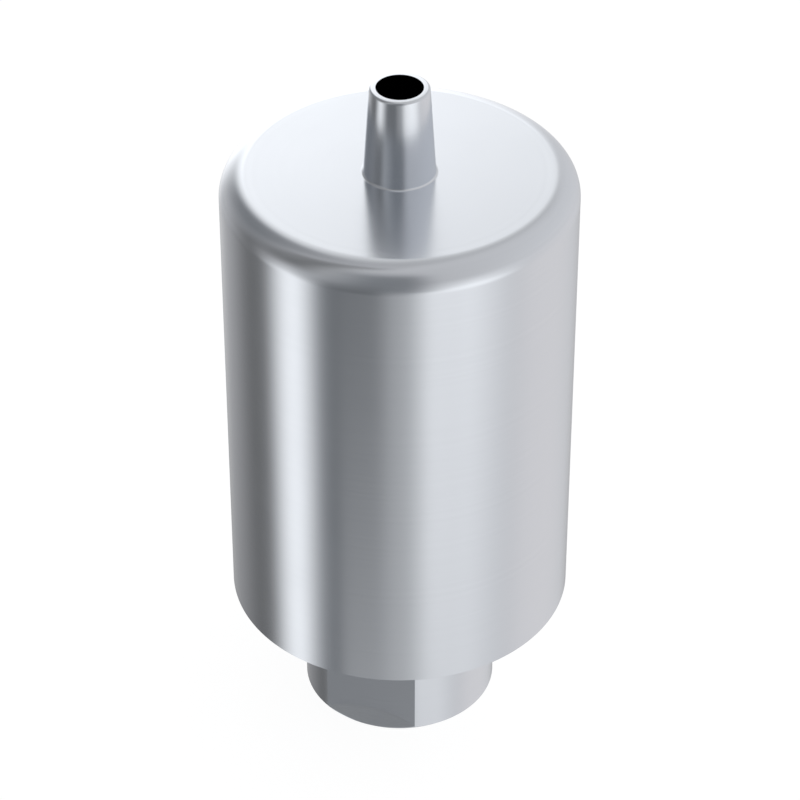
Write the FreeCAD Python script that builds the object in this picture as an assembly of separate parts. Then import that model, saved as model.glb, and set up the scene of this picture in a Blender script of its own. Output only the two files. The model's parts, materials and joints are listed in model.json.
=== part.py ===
# A pre-milled titanium blank for a dental abutment, turned from one bar. It stands as it is shown
# for use: the cone that seats in the implant points up, below it is the round stock that a mill
# carves into the tooth's abutment, and the stub that the mill's holder grips is at the bottom.
# Millimetres, +Z up along the turning axis, origin in the middle of the stub's end face. The
# stub's clamping flat faces -Y.

import FreeCAD, Part
import math
import os

# Round stock
stock_diameter = 14.0
stock_height = 20.0
rim_radius = 1.0
lower_edge_break = 0.03

# Holder stub, with a flat for the holder's clamping screw
stub_diameter = 8.0
stub_length = 5.5
stub_end_chamfer = 0.15
flat_depth = 0.52
collar_height = 0.18

# Screw path, open at both ends: the screw goes in at the stub and its tip leaves at the cone
screw_bore_diameter = 1.84
screw_channel_diameter = 2.5
seat_included_angle = 90.0
seat_below_shoulder = 1.0
channel_mouth_chamfer = 0.2

# Implant cone
cone_length = 3.75
cone_half_angle = 3.7
cone_tip_wall = 0.25
cone_tip_rounding = 0.1
cone_root_fillet = 0.08

# Levels and radii that follow from the sizes
shoulder_z = stub_length + stock_height
tip_z = shoulder_z + cone_length
seat_z = shoulder_z - seat_below_shoulder

stock_r = stock_diameter / 2
stub_r = stub_diameter / 2
bore_r = screw_bore_diameter / 2
channel_r = screw_channel_diameter / 2
tip_r = bore_r + cone_tip_wall
root_r = tip_r + cone_length * math.tan(math.radians(cone_half_angle))
seat_height = (channel_r - bore_r) / math.tan(math.radians(seat_included_angle / 2))

AXIS_POINT = FreeCAD.Vector(0, 0, 0)
AXIS = FreeCAD.Vector(0, 0, 1)


def turned(section):
    """A solid of revolution about Z from the (radius, height) corners of its half section."""
    corners = [FreeCAD.Vector(radius, 0, height) for radius, height in section]
    face = Part.Face(Part.makePolygon(corners + corners[:1]))
    return face.revolve(AXIS_POINT, AXIS, 360)


def rounded(solid, radius, height, fillet_radius):
    """The solid with the circular edge of this radius at this height filleted."""
    edges = [
        edge
        for edge in solid.Edges
        if isinstance(edge.Curve, Part.Circle)
        and abs(edge.Curve.Radius - radius) < 1e-6
        and abs(edge.Curve.Center.z - height) < 1e-6
    ]
    return solid.makeFillet(fillet_radius, edges)


def stock_with_cone():
    """The round stock with the implant cone on its shoulder face, not bored yet."""
    section = [
        (0, stub_length),
        (stock_r - lower_edge_break, stub_length),
        (stock_r, stub_length + lower_edge_break),
        (stock_r, shoulder_z),
        (root_r, shoulder_z),
        (tip_r, tip_z),
        (0, tip_z),
    ]
    stock = turned(section)
    stock = rounded(stock, stock_r, shoulder_z, rim_radius)
    stock = rounded(stock, root_r, shoulder_z, cone_root_fillet)
    return rounded(stock, tip_r, tip_z, cone_tip_rounding)


def holder_stub():
    """The stub, not bored yet, with its flat milled from the collar's top up to the stock.

    Its section has a corner at the collar's top, so that the collar, which is round all the way,
    and the wall above it, which the flat interrupts, are faces of their own.
    """
    section = [
        (0, 0),
        (stub_r - stub_end_chamfer, 0),
        (stub_r, stub_end_chamfer),
        (stub_r, collar_height),
        (stub_r, stub_length),
        (0, stub_length),
    ]
    cutter_corner = FreeCAD.Vector(-stub_r, -stub_r - flat_depth, collar_height)
    cutter = Part.makeBox(stub_diameter, 2 * flat_depth, stub_length - collar_height, cutter_corner)
    return turned(section).cut(cutter)


def screw_path():
    """What is bored out: the bore in the cone, the seat, and the channel with its chamfered mouth."""
    section = [
        (0, tip_z),
        (bore_r, tip_z),
        (bore_r, seat_z),
        (channel_r, seat_z - seat_height),
        (channel_r, channel_mouth_chamfer),
        (channel_r + channel_mouth_chamfer, 0),
        (0, 0),
    ]
    return turned(section)


blank = stock_with_cone().fuse(holder_stub()).cut(screw_path())
os.makedirs("parts", exist_ok=True)
blank.exportStep("parts/abutment_blank.step")

box = blank.optimalBoundingBox(False)
print(
    f"abutment_blank: {len(blank.Solids)} solid, valid {blank.isValid()}, {blank.Volume:.1f} mm3, "
    f"{box.XLength:.2f} x {box.YLength:.2f} x {box.ZLength:.2f} mm"
)
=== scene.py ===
"""A pre-milled titanium blank for a dental abutment, standing on a white studio floor.

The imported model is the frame. The blank is turned here once more as one fine mesh, with the same
section as the CAD node that it stands for, so that its reflections run smoothly.
"""

import json
import math

import bmesh
import bpy
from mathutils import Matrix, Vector


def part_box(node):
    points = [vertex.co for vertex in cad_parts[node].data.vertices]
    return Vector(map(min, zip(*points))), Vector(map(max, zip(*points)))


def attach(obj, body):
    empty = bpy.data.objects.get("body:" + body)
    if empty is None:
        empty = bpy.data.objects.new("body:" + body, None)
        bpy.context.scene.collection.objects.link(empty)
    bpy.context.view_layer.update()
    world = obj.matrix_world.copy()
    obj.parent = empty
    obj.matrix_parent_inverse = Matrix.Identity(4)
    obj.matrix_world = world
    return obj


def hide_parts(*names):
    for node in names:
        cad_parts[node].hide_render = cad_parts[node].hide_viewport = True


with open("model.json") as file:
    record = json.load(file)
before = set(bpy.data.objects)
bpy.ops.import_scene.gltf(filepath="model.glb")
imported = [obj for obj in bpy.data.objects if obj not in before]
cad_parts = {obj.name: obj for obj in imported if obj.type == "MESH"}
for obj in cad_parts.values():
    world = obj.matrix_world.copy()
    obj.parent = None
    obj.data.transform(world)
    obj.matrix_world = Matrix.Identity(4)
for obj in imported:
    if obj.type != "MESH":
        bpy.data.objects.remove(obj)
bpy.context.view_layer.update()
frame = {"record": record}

MM = 0.001

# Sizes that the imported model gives
NODE = "abutment_blank"
BLANK_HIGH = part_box(NODE)[1]
MOUNTS = {mount["name"]: mount for mount in frame["record"]["mounts"]}
STOCK_R = BLANK_HIGH.x
TIP_Z = BLANK_HIGH.z
STUB_R = MOUNTS["holder_stub"]["dims"]["r_mm"] * MM
STUB_TOP_Z = MOUNTS["stock_underside"]["pos_m"][2]
FLAT_DISTANCE = -MOUNTS["clamping_flat"]["pos_m"][1]
SHOULDER_Z = MOUNTS["implant_shoulder"]["pos_m"][2]
BORE_R = MOUNTS["screw_bore"]["dims"]["r_mm"] * MM
CHANNEL_R = MOUNTS["screw_channel"]["dims"]["r_mm"] * MM

# Sizes that it doesn't state, as in the part's source
RIM_RADIUS = 1.0 * MM
LOWER_EDGE_BREAK = 0.03 * MM
STUB_END_CHAMFER = 0.15 * MM
COLLAR_HEIGHT = 0.18 * MM
SEAT_BELOW_SHOULDER = 1.0 * MM
SEAT_HALF_ANGLE = math.radians(45)
CHANNEL_MOUTH_CHAMFER = 0.2 * MM
CONE_HALF_ANGLE = math.radians(3.7)
CONE_TIP_WALL = 0.25 * MM
CONE_TIP_ROUNDING = 0.1 * MM
CONE_ROOT_FILLET = 0.08 * MM

# Levels and radii that follow from the sizes
SEAT_Z = SHOULDER_Z - SEAT_BELOW_SHOULDER
SEAT_END_Z = SEAT_Z - (CHANNEL_R - BORE_R) / math.tan(SEAT_HALF_ANGLE)
CHANNEL_MOUTH_R = CHANNEL_R + CHANNEL_MOUTH_CHAMFER
CONE_TIP_R = BORE_R + CONE_TIP_WALL

# Fineness of the mesh. A ring stands this support distance off each rounding, so that the faces
# beside it shade as flat.
STEPS_ACROSS_FLAT = 48
STEPS_ROUND_THE_REST = 240
RIM_STEPS = 24
SMALL_ARC_STEPS = 8
SUPPORT = 0.04 * MM
WELD_DISTANCE = 0.0001 * MM
SHARP_ANGLE = math.radians(20)


# Mesh


def arc(centre_r, centre_z, radius, start, end, steps):
    """Section points on an arc, from the start angle to the end angle in radians."""
    angles = [start + (end - start) * i / steps for i in range(steps + 1)]
    return [(centre_r + radius * math.cos(a), centre_z + radius * math.sin(a)) for a in angles]


def outside_section():
    """The section above the stub as (radius, height), from the stock's underside to the bore."""
    edge_z = STUB_TOP_Z + LOWER_EDGE_BREAK
    points = [
        (STOCK_R - LOWER_EDGE_BREAK, STUB_TOP_Z),
        (STOCK_R, edge_z),
        (STOCK_R, edge_z + SUPPORT),
        (STOCK_R, SHOULDER_Z - RIM_RADIUS - SUPPORT),
    ]
    points += arc(STOCK_R - RIM_RADIUS, SHOULDER_Z - RIM_RADIUS, RIM_RADIUS, 0, math.pi / 2, RIM_STEPS)
    points.append((STOCK_R - RIM_RADIUS - SUPPORT, SHOULDER_Z))

    # A fillet's centre lies one fillet radius off the cone's side
    slope = math.tan(CONE_HALF_ANGLE)
    root_r = CONE_TIP_R + (TIP_Z - SHOULDER_Z) * slope
    fillet_r = root_r + CONE_ROOT_FILLET * (1 / math.cos(CONE_HALF_ANGLE) - slope)
    points.append((fillet_r + SUPPORT, SHOULDER_Z))
    points += arc(
        fillet_r,
        SHOULDER_Z + CONE_ROOT_FILLET,
        CONE_ROOT_FILLET,
        -math.pi / 2,
        CONE_HALF_ANGLE - math.pi,
        SMALL_ARC_STEPS,
    )
    low_r, low_z = points[-1]
    points.append((low_r - SUPPORT * slope, low_z + SUPPORT))
    tip_centre_r = CONE_TIP_R - CONE_TIP_ROUNDING * (1 / math.cos(CONE_HALF_ANGLE) - slope)
    rounding = arc(
        tip_centre_r,
        TIP_Z - CONE_TIP_ROUNDING,
        CONE_TIP_ROUNDING,
        CONE_HALF_ANGLE,
        math.pi / 2,
        SMALL_ARC_STEPS,
    )
    high_r, high_z = rounding[0]
    points.append((high_r + SUPPORT * slope, high_z - SUPPORT))
    return points + rounding


def screw_path_section():
    """The section of what is bored out, from the cone's tip down to the channel's mouth."""
    return [
        (BORE_R, TIP_Z),
        (BORE_R, SEAT_Z),
        (CHANNEL_R, SEAT_END_Z),
        (CHANNEL_R, CHANNEL_MOUTH_CHAMFER),
        (CHANNEL_MOUTH_R, 0),
    ]


def blank_rings():
    """The closed section as (radius, height, cut), where a cut ring follows the clamping flat."""
    stub_end = [(STUB_R - STUB_END_CHAMFER, 0), (STUB_R, STUB_END_CHAMFER), (STUB_R, COLLAR_HEIGHT)]
    stub_wall = [(STUB_R, COLLAR_HEIGHT), (STUB_R, STUB_TOP_Z)]
    rings = [(radius, height, False) for radius, height in stub_end]
    rings += [(radius, height, True) for radius, height in stub_wall]
    rings += [(radius, height, False) for radius, height in outside_section()]
    rings += [(radius, height, False) for radius, height in screw_path_section()]
    return rings


def turning_angles():
    """Angles round the axis from the middle of the flat, with one at each of the flat's edges."""
    half_flat = math.acos(FLAT_DISTANCE / STUB_R)
    rest = 2 * math.pi - 2 * half_flat
    angles = [-half_flat + 2 * half_flat * i / STEPS_ACROSS_FLAT for i in range(STEPS_ACROSS_FLAT)]
    angles += [half_flat + rest * i / STEPS_ROUND_THE_REST for i in range(STEPS_ROUND_THE_REST)]
    return angles


def cut_radius(angle):
    """The stub's radius at this angle from the middle of the flat."""
    across = math.cos(angle)
    if across <= FLAT_DISTANCE / STUB_R:
        return STUB_R
    return FLAT_DISTANCE / across


def turned_blank():
    """The blank as one closed mesh, smooth but for its true edges."""
    angles = turning_angles()
    count = len(angles)
    vertices = []
    rings = blank_rings()
    for radius, height, cut in rings:
        for angle in angles:
            r = cut_radius(angle) if cut else radius
            vertices.append((r * math.sin(angle), -r * math.cos(angle), height))
    faces = []
    for ring in range(len(rings)):
        low, high = ring * count, (ring + 1) % len(rings) * count
        for j in range(count):
            k = (j + 1) % count
            corners = (low + j, low + k, high + k, high + j)
            if len({vertices[c] for c in corners}) > 2:
                faces.append(corners)
    mesh = bpy.data.meshes.new("turned_blank")
    mesh.from_pydata(vertices, [], faces)
    weld(mesh)
    mesh.polygons.foreach_set("use_smooth", [True] * len(mesh.polygons))
    mesh.set_sharp_from_angle(angle=SHARP_ANGLE)
    blank = bpy.data.objects.new("turned_blank", mesh)
    bpy.context.scene.collection.objects.link(blank)
    return blank


def weld(mesh):
    """Joins the corners that lie on each other where the collar meets the stub's round wall."""
    work = bmesh.new()
    work.from_mesh(mesh)
    bmesh.ops.remove_doubles(work, verts=work.verts, dist=WELD_DISTANCE)
    bmesh.ops.dissolve_degenerate(work, edges=work.edges, dist=WELD_DISTANCE)
    work.to_mesh(mesh)
    work.free()


# Shader nodes

# Where a Mix node has its colours, counted from 0 among its inputs and its outputs
MIX_FIRST_COLOUR = 6
MIX_SECOND_COLOUR = 7
MIX_COLOUR_RESULT = 2


def fill(tree, socket, value):
    """Links the input to the value where that is another node's output, and sets it otherwise."""
    if isinstance(value, bpy.types.NodeSocket):
        tree.links.new(value, socket)
    else:
        socket.default_value = value


def node(tree, kind, *values, **settings):
    """Adds a node with these settings, and fills its first inputs."""
    made = tree.nodes.new(kind)
    for name, value in settings.items():
        setattr(made, name, value)
    for socket, value in zip(made.inputs, values):
        fill(tree, socket, value)
    return made


def math_node(tree, operation, *values):
    return node(tree, "ShaderNodeMath", *values, operation=operation).outputs[0]


def ramp(tree, value, start, end, low, high, smooth=False):
    """The value's way from start to end, as a number from low to high."""
    kind = "SMOOTHSTEP" if smooth else "LINEAR"
    made = node(tree, "ShaderNodeMapRange", value, start, end, low, high, interpolation_type=kind)
    return made.outputs[0]


def mix_colour(tree, factor, first, second):
    """The first colour where the factor is 0, the second where it is 1."""
    made = node(tree, "ShaderNodeMix", factor, data_type="RGBA")
    fill(tree, made.inputs[MIX_FIRST_COLOUR], first)
    fill(tree, made.inputs[MIX_SECOND_COLOUR], second)
    return made.outputs[MIX_COLOUR_RESULT]


# Titanium

# The turning marks go from one of these tones to the other
METAL_DARK = (0.755, 0.785, 0.83, 1)
METAL_LIGHT = (0.765, 0.795, 0.84, 1)
TONE_MARKS_PER_METRE = 5000
BUMP_MARKS_PER_METRE = 9000
MARK_DETAIL = 2
BUMP_STRENGTH = 0.02
BUMP_HEIGHT = 0.02 * MM

# The roughness drifts between these in soft clouds
ROUGHNESS_LOW = 0.20
ROUGHNESS_HIGH = 0.22
CLOUDS_PER_METRE = 400
CLOUD_DETAIL = 3

# A noise is spread from this part of its range, which holds nearly all of it
NOISE_LOW = 0.3
NOISE_HIGH = 0.7

# The ledge under the flat gets a slightly darker, greyer metal, which is painted shade. The ledge
# is the metal this near to the collar's top, and this far inside the stub's radius.
LEDGE_PAINTED_SHADE = (0.73, 0.735, 0.735, 1)
LEDGE_TOLERANCE = 0.002 * MM
LEDGE_INSET = 0.005 * MM

# The wall of the screw path is reamed smooth, and its colour is darkened as painted shade in the bore
BORE_PAINTED_SHADE = (0.42, 0.44, 0.47, 1)
REAMED_ROUGHNESS = 0.08
REAMED_DEPTH = 0.003 * MM


def titanium():
    """Fine turned metal. Its marks follow one coordinate that grows all along the outside."""
    material = bpy.data.materials.new("titanium")
    material.use_nodes = True
    tree = material.node_tree
    shader = tree.nodes["Principled BSDF"]
    shader.inputs["Metallic"].default_value = 1

    place = node(tree, "ShaderNodeTexCoord").outputs["Object"]
    axis = node(tree, "ShaderNodeSeparateXYZ", place)
    flat = node(tree, "ShaderNodeCombineXYZ", axis.outputs[0], axis.outputs[1], 0).outputs[0]
    radius = node(tree, "ShaderNodeVectorMath", flat, operation="LENGTH").outputs["Value"]
    along = math_node(tree, "SUBTRACT", axis.outputs[2], radius)

    def marks(per_metre):
        made = node(tree, "ShaderNodeTexNoise", noise_dimensions="1D")
        fill(tree, made.inputs["W"], along)
        fill(tree, made.inputs["Scale"], per_metre)
        fill(tree, made.inputs["Detail"], MARK_DETAIL)
        return made.outputs[0]

    tone = ramp(tree, marks(TONE_MARKS_PER_METRE), NOISE_LOW, NOISE_HIGH, 0, 1)
    turned = mix_colour(tree, tone, METAL_DARK, METAL_LIGHT)
    # The ledge's darker, greyer metal under the flat is painted shade
    on_level = math_node(tree, "COMPARE", axis.outputs[2], COLLAR_HEIGHT, LEDGE_TOLERANCE)
    off_edge = math_node(tree, "LESS_THAN", radius, STUB_R - LEDGE_INSET)
    ledge_shade = math_node(tree, "MULTIPLY", on_level, off_edge)
    outside = mix_colour(tree, ledge_shade, turned, LEDGE_PAINTED_SHADE)

    cloud = node(tree, "ShaderNodeTexNoise", place)
    fill(tree, cloud.inputs["Scale"], CLOUDS_PER_METRE)
    fill(tree, cloud.inputs["Detail"], CLOUD_DETAIL)
    drift = ramp(tree, cloud.outputs[0], NOISE_LOW, NOISE_HIGH, ROUGHNESS_LOW, ROUGHNESS_HIGH)

    # A point is on the screw path's wall where its radius is under this limit, which widens below
    # the cone from the bore to the channel's mouth.
    limit = ramp(tree, axis.outputs[2], SEAT_Z, SEAT_END_Z, BORE_R + REAMED_DEPTH, CHANNEL_MOUTH_R)
    inside = math_node(tree, "LESS_THAN", radius, limit)
    # The screw path's wall gets a darker colour, which is painted shade, and a lower roughness
    fill(tree, shader.inputs["Base Color"], mix_colour(tree, inside, outside, BORE_PAINTED_SHADE))
    fill(tree, shader.inputs["Roughness"], ramp(tree, inside, 0, 1, drift, REAMED_ROUGHNESS))

    bump = node(tree, "ShaderNodeBump", BUMP_STRENGTH, BUMP_HEIGHT)
    fill(tree, bump.inputs["Height"], marks(BUMP_MARKS_PER_METRE))
    fill(tree, shader.inputs["Normal"], bump.outputs[0])
    return material


blank = turned_blank()
blank.data.materials.append(titanium())
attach(blank, "root")
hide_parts(NODE)


# Studio

CAMERA_AZIMUTH = 20.4
CAMERA_ELEVATION = 36.9
CAMERA_DISTANCE = 130.9 * MM
AIM_Z = 14.467 * MM
LENS = 145.26
SENSOR_WIDTH = 36
CAMERA_SHIFT_X = 0.0004
NEAR_CLIP = 10 * MM
FAR_CLIP = 10000 * MM

WHITE = (1, 1, 1, 1)

# The floor's grey takes the shadow, and its glow, which only the camera sees, makes it near white
FLOOR_HALF_WIDTH = 600 * MM
FLOOR_GREY = (0.2, 0.2, 0.2, 1)
FLOOR_GLOW = 0.92

# The tent's wall, dimmer on the camera's left than on its right. How far a direction points along
# WALL_AZIMUTH goes from -1 to 1. The wall is WALL_LEFT up to WALL_START, and from there it goes
# towards WALL_RIGHT, which it would reach at WALL_END.
WALL_AZIMUTH = 140.5
WALL_START = -0.3
WALL_END = 2.1
WALL_LEFT = (0.575, 0.57, 0.575, 1)
WALL_RIGHT = (0.823, 0.82, 0.833, 1)

# Tints of the panels
NEUTRAL = (1, 1, 1)
COOL = (0.97, 1, 1.04)
WARM = (1.03, 1, 1)

# Soft panels in the tent, each painted over those before it, as (name, azimuth, half width,
# softness, lowest elevation, its softness, highest elevation, its softness, level, tint). The
# angles are in degrees. Azimuth 0 is where the stub's flat faces, and it grows to the right.
# These values and the wall's were fitted to the photograph's brightness by another program, and
# then rounded by hand.
PANELS = (
    ("window", -148, 17, 14, -24, 32, 51, 20, 1.7, NEUTRAL),
    ("left_strip", -62.5, 14, 10, -120, 12, -27, 18, 1.54, NEUTRAL),
    ("left_dark", -79, 15.5, 28, -120, 5, 34, 32, 0.097, NEUTRAL),
    ("front_dark", -2.5, 39, 11, -80, 8, 58, 17, 0.235, COOL),
    ("upper_left_dark", -45, 22, 13, 12, 17, 85, 32, 0.04, NEUTRAL),
    ("right_front", 64, 19, 25, -38, 24, -3, 30, 1.24, NEUTRAL),
    ("back_left_dark", -110, 31, 20, 15, 22, 69, 32, 0.215, COOL),
    ("front_low", 13, 32.5, 3, -120, 6, -32, 32, 0.58, NEUTRAL),
    ("front_left_column", -28, 2, 33, -28, 3, 76, 3, 0.755, NEUTRAL),
    ("front_core", -9, 20, 8, -40, 7, -2, 32, 0.156, COOL),
    ("back_high", -161, 10, 36, 33, 3, 95, 5, 0.4, NEUTRAL),
    ("back_low_dark", -137, 42, 21, -120, 5, -40, 24, 0.04, NEUTRAL),
    ("left_core", -91, 8.5, 20, -60, 10, -24, 13, 0.126, NEUTRAL),
    ("right_near", 41, 2, 20, -43, 4, -21, 3, 1.28, NEUTRAL),
    ("right_far", 128, 26, 18, -58, 7, -4, 32, 0.75, WARM),
    ("left_strip_core", -50, 10.5, 12, -42, 7, -21, 32, 1.29, NEUTRAL),
    ("rim_patch", -57, 2, 15, 16, 23, 70, 8, 0.4, NEUTRAL),
    ("right_streak", 66, 17, 18, -27, 6, -16, 6, 1.17, NEUTRAL),
)


def studio_world():
    """White to the camera. The metal shows the tent with its light and dark panels."""
    world = bpy.data.worlds.new("studio")
    bpy.context.scene.world = world
    world.use_nodes = True
    tree = world.node_tree
    background = tree.nodes["Background"]

    direction = node(tree, "ShaderNodeTexCoord").outputs["Generated"]
    axes = node(tree, "ShaderNodeSeparateXYZ", direction).outputs
    backward = math_node(tree, "MULTIPLY", axes[1], -1)
    azimuth = math_node(tree, "DEGREES", math_node(tree, "ARCTAN2", axes[0], backward))
    elevation = math_node(tree, "DEGREES", math_node(tree, "ARCSINE", axes[2]))

    wall = math.radians(WALL_AZIMUTH)
    across = node(tree, "ShaderNodeVectorMath", direction, operation="DOT_PRODUCT")
    across.inputs[1].default_value = (math.sin(wall), -math.cos(wall), 0)
    side = ramp(tree, across.outputs["Value"], WALL_START, WALL_END, 0, 1, smooth=True)
    light = mix_colour(tree, side, WALL_LEFT, WALL_RIGHT)

    for name, middle, half, soft, low, low_soft, high, high_soft, level, tint in PANELS:
        turn = math_node(tree, "SUBTRACT", azimuth, middle)
        away = math_node(tree, "ABSOLUTE", math_node(tree, "WRAP", turn, 180, -180))
        width = ramp(tree, away, half - soft, half + soft, 1, 0, smooth=True)
        bottom = ramp(tree, elevation, low - low_soft, low + low_soft, 0, 1, smooth=True)
        top = ramp(tree, elevation, high - high_soft, high + high_soft, 1, 0, smooth=True)
        mask = math_node(tree, "MULTIPLY", width, math_node(tree, "MULTIPLY", bottom, top))
        light = mix_colour(tree, mask, light, (*(level * part for part in tint), 1))
        light.node.label = name

    rays = node(tree, "ShaderNodeLightPath").outputs
    seen_white = math_node(tree, "MAXIMUM", rays["Is Camera Ray"], rays["Is Transmission Ray"])
    fill(tree, background.inputs["Color"], mix_colour(tree, seen_white, light, WHITE))


def white_floor():
    """A white floor that takes the blank's soft shadow."""
    half = FLOOR_HALF_WIDTH
    corners = [(-half, -half, 0), (half, -half, 0), (half, half, 0), (-half, half, 0)]
    mesh = bpy.data.meshes.new("floor")
    mesh.from_pydata(corners, [], [(0, 1, 2, 3)])
    floor = bpy.data.objects.new("floor", mesh)
    bpy.context.scene.collection.objects.link(floor)

    material = bpy.data.materials.new("floor_white")
    material.use_nodes = True
    tree = material.node_tree
    tree.nodes.clear()
    diffuse = node(tree, "ShaderNodeBsdfDiffuse", FLOOR_GREY).outputs[0]
    rays = node(tree, "ShaderNodeLightPath").outputs
    level = math_node(tree, "MULTIPLY", rays["Is Camera Ray"], FLOOR_GLOW)
    glow = node(tree, "ShaderNodeEmission", WHITE, level).outputs[0]
    total = node(tree, "ShaderNodeAddShader", diffuse, glow).outputs[0]
    output = node(tree, "ShaderNodeOutputMaterial", total)
    output.is_active_output = True
    mesh.materials.append(material)

    # The metal sees the tent below the horizon too. With the floor in its reflections the stock's
    # wall would be plain white, which it isn't in the photograph.
    floor.visible_glossy = False


def camera():
    """The photograph's view."""
    data = bpy.data.cameras.new("camera")
    data.lens = LENS
    data.sensor_width = SENSOR_WIDTH
    data.shift_x = CAMERA_SHIFT_X
    data.clip_start = NEAR_CLIP
    data.clip_end = FAR_CLIP
    view = bpy.data.objects.new("camera", data)
    bpy.context.scene.collection.objects.link(view)
    azimuth = math.radians(CAMERA_AZIMUTH)
    elevation = math.radians(CAMERA_ELEVATION)
    back = Vector(
        (
            math.sin(azimuth) * math.cos(elevation),
            -math.cos(azimuth) * math.cos(elevation),
            math.sin(elevation),
        )
    )
    view.location = Vector((0, 0, AIM_Z)) + back * CAMERA_DISTANCE
    view.rotation_mode = "QUATERNION"
    view.rotation_quaternion = (-back).to_track_quat("-Z", "Y")
    bpy.context.scene.camera = view


studio_world()
white_floor()
camera()
bpy.context.scene.view_settings.view_transform = "Standard"
